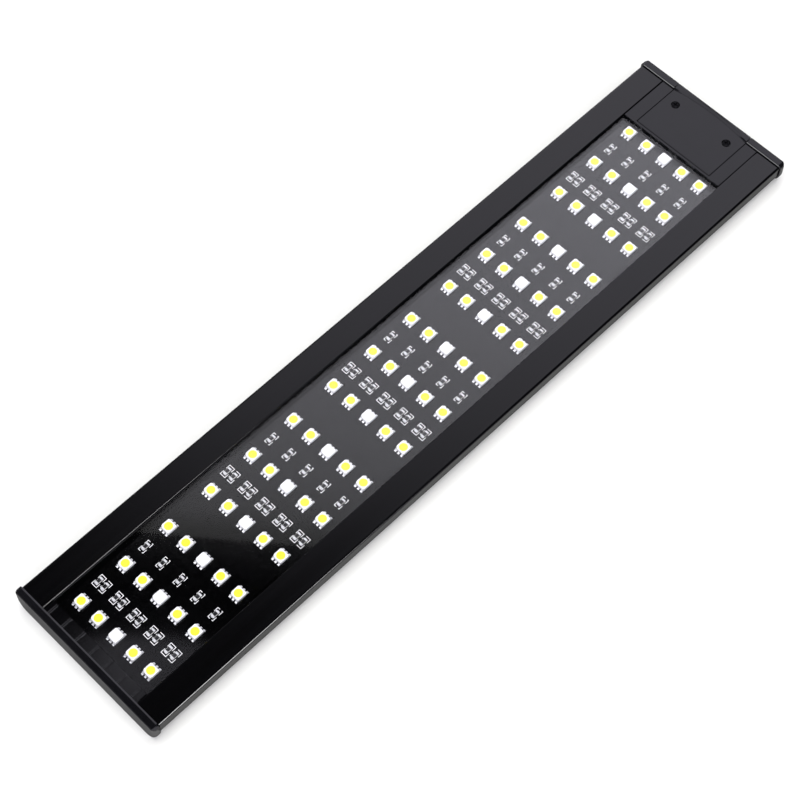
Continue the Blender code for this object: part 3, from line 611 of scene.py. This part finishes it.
def rounded_rectangle(half_x, half_y, radius, z, centre=(0.0, 0.0), steps=CORNER_STEPS):
    points = []
    for corner in range(4):
        sign_x = 1 if corner in (0, 3) else -1
        sign_y = 1 if corner in (0, 1) else -1
        start = corner * math.pi / 2
        for i in range(steps + 1):
            angle = start + (math.pi / 2) * i / steps
            x = centre[0] + sign_x * (half_x - radius) + radius * math.cos(angle)
            y = centre[1] + sign_y * (half_y - radius) + radius * math.sin(angle)
            points.append((x, y, z))
    return points


def soft_block(bm, centre, half, bottom, top, radius, edge):
    """A block with rounded corners and a rounded upper edge."""
    half_x, half_y = half
    rings = [rounded_rectangle(half_x, half_y, radius, bottom, centre)]
    for share in (0.0, 0.5, 1.0):
        angle = share * math.pi / 2
        inset = edge * (1 - math.cos(angle))
        z = top - edge + edge * math.sin(angle)
        corner = max(radius - inset, radius * LEAST_CORNER_SHARE)
        rings.append(rounded_rectangle(half_x - inset, half_y - inset, corner, z, centre))
    skin(bm, rings)


def add_tube(bm, course, sides):
    """A thin closed tube through points, each given with its radius."""
    points = [Vector(point) for point, _ in course]
    rings = []
    for i, (_, radius) in enumerate(course):
        along = (points[min(i + 1, len(points) - 1)] - points[max(i - 1, 0)]).normalized()
        side = along.cross(Vector((0, 0, 1))).normalized()
        over = side.cross(along)
        angles = [2 * math.pi * k / sides for k in range(sides)]
        rings.append([points[i] + radius * (side * math.cos(a) + over * math.sin(a)) for a in angles])
    skin(bm, rings)


# ---------------------------------------------------------------- softened copies of CAD nodes

def soften(bm, edges, width, segments):
    bmesh.ops.bevel(bm, geom=edges, offset=width, segments=segments, profile=0.5, affect="EDGES",
                    clamp_overlap=True)


def sharp_edges(bm, wanted):
    limit = math.radians(SHARP_ANGLE)
    return [e for e in bm.edges if e.is_manifold and e.calc_face_angle() > limit and wanted(e)]


def on_crest(edge):
    """Edges round the top of a cap's raised plate."""
    return min(vert.co.z for vert in edge.verts) > CREST


def on_tongue(face):
    centre = face.calc_center_median()
    return centre.x > TONGUE_START and centre.z > TONGUE_LOW


def flatten_level_faces(mesh):
    for polygon in mesh.polygons:
        if polygon.area > FLAT_AREA and abs(polygon.normal.z) > LEVEL:
            polygon.use_smooth = False


def refined(node_name, width, slot, slots=(), crest_width=0.0):
    """A copy of a CAD node with its corners softened, which stands for it."""
    bm = bmesh.new()
    bm.from_mesh(frame["nodes"][node_name].data)
    bmesh.ops.remove_doubles(bm, verts=bm.verts, dist=WELD_DISTANCE)
    bmesh.ops.dissolve_limit(bm, angle_limit=math.radians(DISSOLVE_ANGLE), verts=bm.verts, edges=bm.edges)
    if crest_width:
        soften(bm, sharp_edges(bm, on_crest), crest_width, CREST_SEGMENTS)
    soften(bm, sharp_edges(bm, lambda edge: not on_crest(edge)), width, BEVEL_SEGMENTS)
    if slots:
        for face in bm.faces:
            face.material_index = int(on_tongue(face))
    piece = add_piece(f"{node_name}_fine", bm, slot, SOFTENED_SMOOTH_ANGLE, slots)
    flatten_level_faces(piece.data)
    piece.modifiers.new("weighted_normals", "WEIGHTED_NORMAL").keep_sharp = True
    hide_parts(node_name)


# ---------------------------------------------------------------- casing

def build_casing():
    refined("housing", CASING_BEVEL, "anodised_aluminium")
    refined("near_end_cap", CASING_BEVEL, "cap_plastic", ("cap_gloss",), NEAR_CREST_BEVEL)
    refined("far_end_cap", CASING_BEVEL, "cap_plastic", (), FAR_CREST_BEVEL)
    refined("cover_plate", CASING_BEVEL, "cap_plastic")
    refined("lens", LENS_BEVEL, "lens_acrylic")
    for side in ("left", "right"):
        refined(f"cover_screw_{side}", SCREW_BEVEL, "screw_black")
        for end in ("near", "far"):
            refined(f"cap_screw_{end}_{side}", SCREW_BEVEL, "screw_steel")
    refined("power_socket", SOCKET_BEVEL, "socket_plastic")
    refined("board_header", CONNECTOR_BEVEL, "connector_nylon")
    refined("wire_plug", CONNECTOR_BEVEL, "connector_nylon")


def build_rib_crests():
    """Each rib of the near cap's tongue ends upwards in two rounded crests."""
    bm = bmesh.new()
    for i in range(RIB_COUNT):
        middle = (i - (RIB_COUNT - 1) / 2) * RIB_PITCH
        for side in (1, -1):
            y = middle + side * CREST_OFFSET
            course = [((x, y, CREST_HEIGHT), CREST_RADIUS * share) for x, share in CREST_COURSE]
            add_tube(bm, course, TUBE_SIDES)
    add_piece("tongue_rib_crests", bm, "cap_gloss", ROUND_SMOOTH_ANGLE)


def build_lens_beads():
    """A bead of black sealant under each lip, along the lens's edge."""
    for name, side in (("left", 1), ("right", -1)):
        bm = bmesh.new()
        y = side * (WINDOW_HALF - BEAD_INSET)
        z = LENS_HIGH.z + BEAD_LIFT
        ends = (LENS_LOW.x, LENS_HIGH.x)
        add_tube(bm, [((x, y, z), BEAD_RADIUS) for x in ends], TUBE_SIDES)
        add_piece(f"lens_bead_{name}", bm, "bead_black", ROUND_SMOOTH_ANGLE)


# ---------------------------------------------------------------- places on the board

def led_places():
    """Each LED's column, row and middle."""
    for column in range(COLUMNS):
        for row in range(ROWS):
            yield column, row, FIRST_COLUMN_X + column * COLUMN_PITCH, (row - MIDDLE_ROW) * ROW_PITCH


def resistor_places():
    """In each row, two resistors after the first column of three and one after the second."""
    for column, _, led_x, led_y in led_places():
        x, y = led_x + RESISTOR_OFFSET_X, led_y + RESISTOR_OFFSET_Y
        if column % GROUP == 0:
            yield x, y - RESISTOR_PAIR_PITCH / 2
            yield x, y + RESISTOR_PAIR_PITCH / 2
        elif column % GROUP == 1:
            yield x, y


# ---------------------------------------------------------------- board

def build_board():
    bm = bmesh.new()
    centre = ((BOARD_LOW.x + BOARD_TOP_CORNER.x) / 2, 0.0)
    half = (BOARD_TOP_CORNER - BOARD_LOW) / 2
    rings = []
    for z, inset in ((BOARD_LOW.z, BOARD_EDGE), (BOARD_LOW.z + BOARD_EDGE, 0.0),
                     (BOARD_HIGH - BOARD_EDGE, 0.0), (BOARD_HIGH, BOARD_EDGE)):
        half_x, half_y = half.x - inset, half.y - inset
        rings.append(rounded_rectangle(half_x, half_y, BOARD_CORNER, z, centre, BOARD_CORNER_STEPS))
    skin(bm, rings)
    board = add_piece("circuit_board", bm, "board_mask")
    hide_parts("led_board")


def track(bm, start, end, width):
    """A straight raised track between two points on the board, and half its width past them."""
    low = (min(start[0], end[0]) - width / 2, min(start[1], end[1]) - width / 2)
    high = (max(start[0], end[0]) + width / 2, max(start[1], end[1]) + width / 2)
    centre = ((low[0] + high[0]) / 2, (low[1] + high[1]) / 2)
    half = ((high[0] - low[0]) / 2, (high[1] - low[1]) / 2)
    corner, edge = min(half) * TRACK_CORNER_SHARE, TRACK_HEIGHT * TRACK_EDGE_SHARE
    soft_block(bm, centre, half, BOARD_HIGH - TRACK_HEIGHT, BOARD_HIGH + TRACK_HEIGHT, corner, edge)


def build_tracks():
    """A bus along each side, links within a group of LEDs, and steps down from it to the bus."""
    bm = bmesh.new()
    start, end = BOARD_LOW.x + TRACK_END, BOARD_TOP_CORNER.x - TRACK_END
    for side in (1, -1):
        track(bm, (start, side * BUS_Y), (end, side * BUS_Y), BUS_WIDTH)
    pad_end = RESISTOR_PAD[1]
    for column, row, x, y in led_places():
        if column % GROUP != GROUP - 1:
            resistor_x = x + RESISTOR_OFFSET_X
            track(bm, (x + PAD_OUTER, y), (resistor_x - pad_end, y), TRACK_WIDTH)
            track(bm, (resistor_x + pad_end, y), (x + COLUMN_PITCH - PAD_OUTER, y), TRACK_WIDTH)
        elif column != COLUMNS - 1:
            turn = x + STEP_START + row * STEP_PITCH
            track(bm, (x + PAD_OUTER, y), (turn, y), TRACK_WIDTH)
            track(bm, (turn, y), (turn, -BUS_Y), TRACK_WIDTH)
    add_piece("copper_tracks", bm, "board_mask", TRACK_SMOOTH_ANGLE)


# ---------------------------------------------------------------- LEDs

def package_ring(half, z):
    """A square seen from above, with small corners and one cut corner that marks the polarity."""
    points = []
    for i in range(LED_RING):
        angle = 2 * math.pi * i / LED_RING
        x, y = math.cos(angle), math.sin(angle)
        reach = half / max(abs(x), abs(y))
        x, y = x * reach, y * reach
        corner = (abs(x) + abs(y)) - (2 * half - LED_CORNER)
        if corner > 0:
            x -= math.copysign(corner / 2, x)
            y -= math.copysign(corner / 2, y)
        cut = (y - x) - (2 * half - LED_POLARITY_CHAMFER)
        if cut > 0:
            x += cut / 2
            y -= cut / 2
        points.append((x, y, z))
    return points


def circle(radius, z):
    angles = [2 * math.pi * i / LED_RING for i in range(LED_RING)]
    return [(radius * math.cos(a), radius * math.sin(a), z) for a in angles]


def moved(points, x, y):
    """Points round a package's middle, moved to its place on the board."""
    return [(px + x, py + y, pz + BOARD_HIGH) for px, py, pz in points]


def package_rings():
    """The moulding from its foot up its sides, over its top and down into its cup."""
    top = LED_HEIGHT
    shoulder = LED_HALF - LED_DRAFT
    step = LED_TOP_EDGE * LED_TOP_EDGE_SHARE
    return [
        package_ring(shoulder, LED_FOOT),
        package_ring(LED_HALF, LED_PARTING),
        package_ring(shoulder, top - LED_TOP_EDGE),
        package_ring(shoulder - step, top - step),
        package_ring(shoulder - LED_TOP_EDGE, top),
        circle(CUP_RADIUS + CUP_LIP, top),
        circle(CUP_RADIUS, top - CUP_LIP_DEPTH),
        circle(CUP_FLOOR_RADIUS, top - CUP_DEPTH),
    ]


def build_led_mouldings():
    bm = bmesh.new()
    rings = package_rings()
    for _, _, x, y in led_places():
        skin(bm, [moved(ring, x, y) for ring in rings])
    add_piece("led_mouldings", bm, "led_package", MOULDING_SMOOTH_ANGLE)


def gel_rings():
    """A filled cup's underside, and its surface, a little hollow in the middle."""
    rings = [circle(CUP_FLOOR_RADIUS - GEL_CLEARANCE, LED_HEIGHT - CUP_DEPTH + GEL_CLEARANCE)]
    for share in GEL_SHARES:
        z = LED_HEIGHT - GEL_SET_BACK - GEL_SAG * (1 - share ** 2)
        rings.append(circle((CUP_RADIUS - GEL_CLEARANCE) * share, z))
    return rings


def build_gel(name, slot, wanted):
    """The fill of the cups in the wanted rows."""
    bm = bmesh.new()
    rings = gel_rings()
    for _, row, x, y in led_places():
        if wanted(row):
            skin(bm, [moved(ring, x, y) for ring in rings])
    add_piece(name, bm, slot, ROUND_SMOOTH_ANGLE)


def bond_wire(die, floor, reach):
    """An arc from a die's top down to the cup's floor."""
    course = []
    for i in range(BOND_WIRE_STEPS + 1):
        t = i / BOND_WIRE_STEPS
        lift = math.sin(math.pi * t) * BOND_WIRE_LIFT + (1 - t) * DIE_SIZE[2]
        place = (die[0] + reach * t, die[1] - BOND_WIRE_DRIFT * t, floor + lift)
        course.append((place, BOND_WIRE_RADIUS))
    return course


def build_dies():
    """The three small dies and their bond wires in each clear cup."""
    dies, wires = bmesh.new(), bmesh.new()
    floor = BOARD_HIGH + LED_HEIGHT - CUP_DEPTH
    length, width, height = DIE_SIZE
    for _, row, x, y in led_places():
        if row != MIDDLE_ROW:
            continue
        for dx, dy in DIE_OFFSETS:
            die = (x + dx, y + dy)
            soft_block(dies, die, (length / 2, width / 2), floor, floor + height, DIE_CORNER, DIE_EDGE)
            reach = math.copysign(BOND_WIRE_REACH, dx)
            add_tube(wires, bond_wire(die, floor, reach), BOND_WIRE_SIDES)
    add_piece("led_dies", dies, "die_pale")
    add_piece("led_bond_wires", wires, "contact_metal", ROUND_SMOOTH_ANGLE)


# ---------------------------------------------------------------- leads and solder

def lead_profile():
    """A lead seen from its side: out of the moulding, down, and under its foot."""
    root = LED_HALF - LEAD_ROOT
    out = LED_HALF + LEAD_REACH
    inner = out - LEAD_THICKNESS
    back = LED_HALF - LEAD_FOOT
    top = LED_PARTING + LEAD_THICKNESS / 2
    under = top - LEAD_THICKNESS
    return [(root, top), (out - LEAD_BEND, top), (out, top - LEAD_SHOULDER), (out, LEAD_FOOT_HIGH),
            (out - LEAD_BEND, LEAD_FOOT_LOW), (back, LEAD_FOOT_LOW), (back, LEAD_FOOT_HIGH),
            (inner, LEAD_FOOT_CORNER), (inner, under), (root, under)]


def lead_places():
    """The package's middle along X, each lead's middle along Y, and the side that the lead is on."""
    for _, _, x, y in led_places():
        for side in (1, -1):
            for i in (-1, 0, 1):
                yield x, y + i * LEAD_PITCH, side


def build_leads():
    bm = bmesh.new()
    profile = lead_profile()
    half = LEAD_WIDTH / 2
    for x, y, side in lead_places():
        rings = [[(x + side * px, y + dy, BOARD_HIGH + pz) for px, pz in profile] for dy in (-half, half)]
        skin(bm, rings)
    add_piece("led_leads", bm, "solder_tin", SOFTENED_SMOOTH_ANGLE)


def solder_profile(inner, start, end, height):
    """A straight rise from a pad's inner end to the part's face, then a hollow curve to its outer end."""
    points = [(inner, PAD_HEIGHT)]
    for i in range(FILLET_STEPS + 1):
        t = i / FILLET_STEPS
        rise = (height - PAD_HEIGHT) * (1 - t) ** FILLET_POWER
        points.append((start + (end - start) * t, PAD_HEIGHT + rise))
    return points


def add_solder(bm, x, y, side, profile, half_width):
    """Solder on a pad: highest along its middle and thin at its edges."""
    grid = []
    for px, pz in profile:
        row = []
        for share, rise in zip(SOLDER_ACROSS, SOLDER_CROWN):
            row.append(bm.verts.new((x + side * px, y + share * half_width, BOARD_HIGH + pz * rise)))
        grid.append(row)
    bottoms = [[bm.verts.new((v.co.x, v.co.y, BOARD_HIGH - SUNK)) for v in row] for row in grid]
    rows, columns = len(grid), len(SOLDER_ACROSS)
    for i in range(rows - 1):
        for j in range(columns - 1):
            bm.faces.new((grid[i][j], grid[i][j + 1], grid[i + 1][j + 1], grid[i + 1][j]))
            bm.faces.new((bottoms[i][j], bottoms[i + 1][j], bottoms[i + 1][j + 1], bottoms[i][j + 1]))
    for i in range(rows - 1):
        for j in (0, columns - 1):
            bm.faces.new((grid[i][j], grid[i + 1][j], bottoms[i + 1][j], bottoms[i][j]))
    for j in range(columns - 1):
        for i in (0, rows - 1):
            bm.faces.new((grid[i][j], grid[i][j + 1], bottoms[i][j + 1], bottoms[i][j]))


def build_solder():
    bm = bmesh.new()
    face = LED_HALF + LEAD_REACH - SOLDER_OVERLAP
    profile = solder_profile(PAD_INNER, face, PAD_OUTER, FILLET_HEIGHT)
    for x, y, side in lead_places():
        add_solder(bm, x, y, side, profile, PAD_WIDTH / 2)
    inner, outer, half_width = RESISTOR_PAD
    face = RESISTOR_HALF[0] + TERMINAL_SKIN - SOLDER_OVERLAP
    profile = solder_profile(inner, face, outer, RESISTOR_HEIGHT * RESISTOR_FILLET_SHARE)
    for x, y in resistor_places():
        for side in (1, -1):
            add_solder(bm, x, y, side, profile, half_width)
    add_piece("solder_joints", bm, "solder_tin", ROUND_SMOOTH_ANGLE)


# ---------------------------------------------------------------- resistors and print

def add_terminals(bm, x, y, bottom, top):
    """A resistor's two metal ends, wrapped round its body."""
    half_x, half_y = RESISTOR_HALF
    half = (TERMINAL_LENGTH / 2, half_y + TERMINAL_SKIN)
    for side in (1, -1):
        centre = (x + side * (half_x + TERMINAL_SKIN - TERMINAL_LENGTH / 2), y)
        soft_block(bm, centre, half, bottom, top, TERMINAL_CORNER, TERMINAL_EDGE)


def build_resistors():
    chips, terminals, glaze = bmesh.new(), bmesh.new(), bmesh.new()
    low = BOARD_HIGH + PAD_HEIGHT
    top = BOARD_HIGH + RESISTOR_HEIGHT
    for x, y in resistor_places():
        soft_block(chips, (x, y), RESISTOR_HALF, low, top, RESISTOR_CORNER, RESISTOR_EDGE)
        soft_block(glaze, (x, y), GLAZE_HALF, top - SUNK, top + GLAZE_RISE, GLAZE_CORNER, GLAZE_EDGE)
        add_terminals(terminals, x, y, low - SUNK, top + TERMINAL_RISE)
    add_piece("resistor_chips", chips, "resistor_body")
    add_piece("resistor_glaze", glaze, "resistor_glaze")
    add_piece("resistor_terminals", terminals, "solder_tin")


def bracket(x, side):
    """A square bracket's outline on one side of x, open towards x."""
    half_x, half_y = LEGEND_HALF
    outer = x + side * half_x
    inner = x + side * (half_x - LEGEND_LINE)
    leg = x + side * (half_x - LEGEND_LEG)
    bend = half_y - LEGEND_LINE
    return [(outer, -half_y), (outer, half_y), (leg, half_y), (leg, bend),
            (inner, bend), (inner, -bend), (leg, -bend), (leg, -half_y)]


def build_legend():
    """Square brackets printed round each resistor."""
    bm = bmesh.new()
    heights = (BOARD_HIGH - LEGEND_HEIGHT, BOARD_HIGH + LEGEND_HEIGHT)
    for x, y in resistor_places():
        for side in (1, -1):
            skin(bm, [[(px, y + py, z) for px, py in bracket(x, side)] for z in heights])
    add_piece("board_print", bm, "board_legend")


# ---------------------------------------------------------------- carried-over nodes

def finish_cad_nodes():
    """Every CAD node that still shows gets its slot's material."""
    slots = {part["node"]: part["material_slot"] for part in frame["record"]["subparts"]}
    for name, obj in frame["nodes"].items():
        if not obj.hide_render:
            for slot in obj.material_slots:
                slot.material = MATERIALS[slots[name]]


# ---------------------------------------------------------------- floor and world

def build_floor():
    bm = bmesh.new()
    bmesh.ops.create_grid(bm, x_segments=FLOOR_CELLS, y_segments=FLOOR_CELLS, size=FLOOR_HALF)
    mesh = bpy.data.meshes.new("floor")
    bm.to_mesh(mesh)
    bm.free()
    mesh.materials.append(floor_material())
    floor = bpy.data.objects.new("floor", mesh)
    floor.location.z = CAD_BOX[0].z - FLOOR_GAP
    bpy.context.scene.collection.objects.link(floor)


def smooth_step(tree, value, low, high):
    inputs = {"Value": value, "From Min": low, "From Max": high}
    return node(tree, "ShaderNodeMapRange", inputs, interpolation_type="SMOOTHSTEP").outputs[0]


def sector(tree, angle, edges):
    """One between the middle pair of four angles, zero outside the outer pair."""
    start, full, falling, end = (math.radians(edge) for edge in edges)
    after = smooth_step(tree, angle, start, full)
    before = smooth_step(tree, angle, end, falling)
    return math_node(tree, "MULTIPLY", after, before)


def distance_from(tree, across, along, centre):
    offset_x = math_node(tree, "SUBTRACT", across, centre[0])
    offset_y = math_node(tree, "SUBTRACT", along, centre[1])
    square_y = math_node(tree, "MULTIPLY", offset_y, offset_y)
    squares = math_node(tree, "MULTIPLY_ADD", offset_x, offset_x, square_y)
    return math_node(tree, "SQRT", squares)


def tent_level(tree, across, along):
    """The tent's brightness: none in its opening, rising outwards, and less in its two dark sectors."""
    distance = distance_from(tree, across, along, OPENING)
    ramp = node(tree, "ShaderNodeValToRGB", {"Fac": math_node(tree, "DIVIDE", distance, TENT_RAMP_REACH)})
    elements = ramp.color_ramp.elements
    while len(elements) < len(TENT_RAMP):
        elements.new(0.5)
    for element, (place, level) in zip(elements, TENT_RAMP):
        element.position = place / TENT_RAMP_REACH
        element.color = (level, level, level, 1)
    angle = math_node(tree, "ARCTAN2", along, across)
    level = math_node(tree, "MULTIPLY", ramp.outputs["Color"], TENT_LEVEL)
    for edges, loss in (GAP_SECTOR, SHADE_SECTOR):
        kept = math_node(tree, "MULTIPLY_ADD", sector(tree, angle, edges), -loss, 1.0)
        level = math_node(tree, "MULTIPLY", level, kept)
    return level


def card_level(tree, across, along):
    """The brightness of a small grey card: a disc that is cut off straight on two sides."""
    distance = distance_from(tree, across, along, CARD_PLACE)
    card = smooth_step(tree, distance, CARD_RADIUS + CARD_BLUR, CARD_RADIUS - CARD_BLUR)
    for value, edge in ((across, CARD_FROM[0]), (along, CARD_FROM[1])):
        card = math_node(tree, "MULTIPLY", card, smooth_step(tree, value, edge - CARD_BLUR, edge))
    return math_node(tree, "MULTIPLY", card, CARD_LEVEL)


def build_world():
    """A white light tent with a dark opening overhead, two dark sectors and a small grey card."""
    world = bpy.data.worlds.new("studio")
    bpy.context.scene.world = world
    world.use_nodes = True
    tree = world.node_tree
    tree.nodes.clear()
    direction = node(tree, "ShaderNodeTexCoord").outputs["Generated"]
    split = node(tree, "ShaderNodeSeparateXYZ", {0: direction})
    height = math_node(tree, "MAXIMUM", split.outputs[2], LEAST_HEIGHT)
    across = math_node(tree, "DIVIDE", split.outputs[0], height)
    along = math_node(tree, "DIVIDE", split.outputs[1], height)
    level = math_node(tree, "ADD", tent_level(tree, across, along), card_level(tree, across, along))
    level = math_node(tree, "ADD", level, STUDIO_LEVEL)
    colour = mix_colours(tree, 1.0, level, STUDIO_TINT, "MULTIPLY")
    background = node(tree, "ShaderNodeBackground", {"Color": colour, "Strength": 1.0})
    node(tree, "ShaderNodeOutputWorld", {"Surface": background.outputs[0]})


# ---------------------------------------------------------------- lights and camera

def add_softbox(name, place, size, level):
    """A rectangular softbox that faces the origin, and whose face has the given brightness."""
    light = bpy.data.lights.new(name, "AREA")
    light.shape = "RECTANGLE"
    light.size, light.size_y = size
    light.energy = level * math.pi * size[0] * size[1]
    lamp = bpy.data.objects.new(name, light)
    lamp.location = place
    lamp.rotation_mode = "QUATERNION"
    lamp.rotation_quaternion = (Vector((0.0, 0.0, 0.0)) - Vector(place)).to_track_quat("-Z", "Y")
    bpy.context.scene.collection.objects.link(lamp)
    lamp.visible_camera = False
    return lamp


def lit_only(lamp, names):
    """Keeps a lamp's light to the named pieces."""
    group = bpy.data.collections.new(f"{lamp.name}_receivers")
    for name in names:
        group.objects.link(bpy.data.objects[name])
    lamp.light_linking.receiver_collection = group


def build_lights():
    """A key and a fill for the colours, two strips for the edges and a panel that the window mirrors."""
    lamps = {name: add_softbox(name, *values) for name, values in SOFTBOXES.items()}
    lamps["window_panel"].rotation_quaternion = Matrix.Rotation(PANEL_TURN, 3, "Z").to_quaternion()
    for name in DIFFUSE_ONLY:
        lamps[name].visible_glossy = False
    for name, pieces in MIRRORED_IN.items():
        lamps[name].visible_diffuse = False
        lit_only(lamps[name], pieces)


def build_camera():
    data = bpy.data.cameras.new("camera")
    data.lens = CAMERA_LENS
    data.clip_start, data.clip_end = CAMERA_CLIP
    camera = bpy.data.objects.new("camera", data)
    camera.location = CAMERA_PLACE
    camera.rotation_mode = "QUATERNION"
    aim = (CAMERA_TARGET - CAMERA_PLACE).to_track_quat("-Z", "Y")
    camera.rotation_quaternion = aim @ Matrix.Rotation(CAMERA_ROLL, 3, "Z").to_quaternion()
    bpy.context.scene.collection.objects.link(camera)
    bpy.context.scene.camera = camera
    bpy.context.scene.view_settings.view_transform = "Standard"


# ---------------------------------------------------------------- main

MATERIALS = make_materials()

build_casing()
build_rib_crests()
build_lens_beads()
build_board()
build_tracks()
build_led_mouldings()
build_gel("led_phosphor", "led_phosphor", lambda row: row != MIDDLE_ROW)
build_gel("led_clear_fill", "led_clear_gel", lambda row: row == MIDDLE_ROW)
build_dies()
build_leads()
build_solder()
build_resistors()
build_legend()
finish_cad_nodes()
build_floor()
build_world()
build_lights()
build_camera()
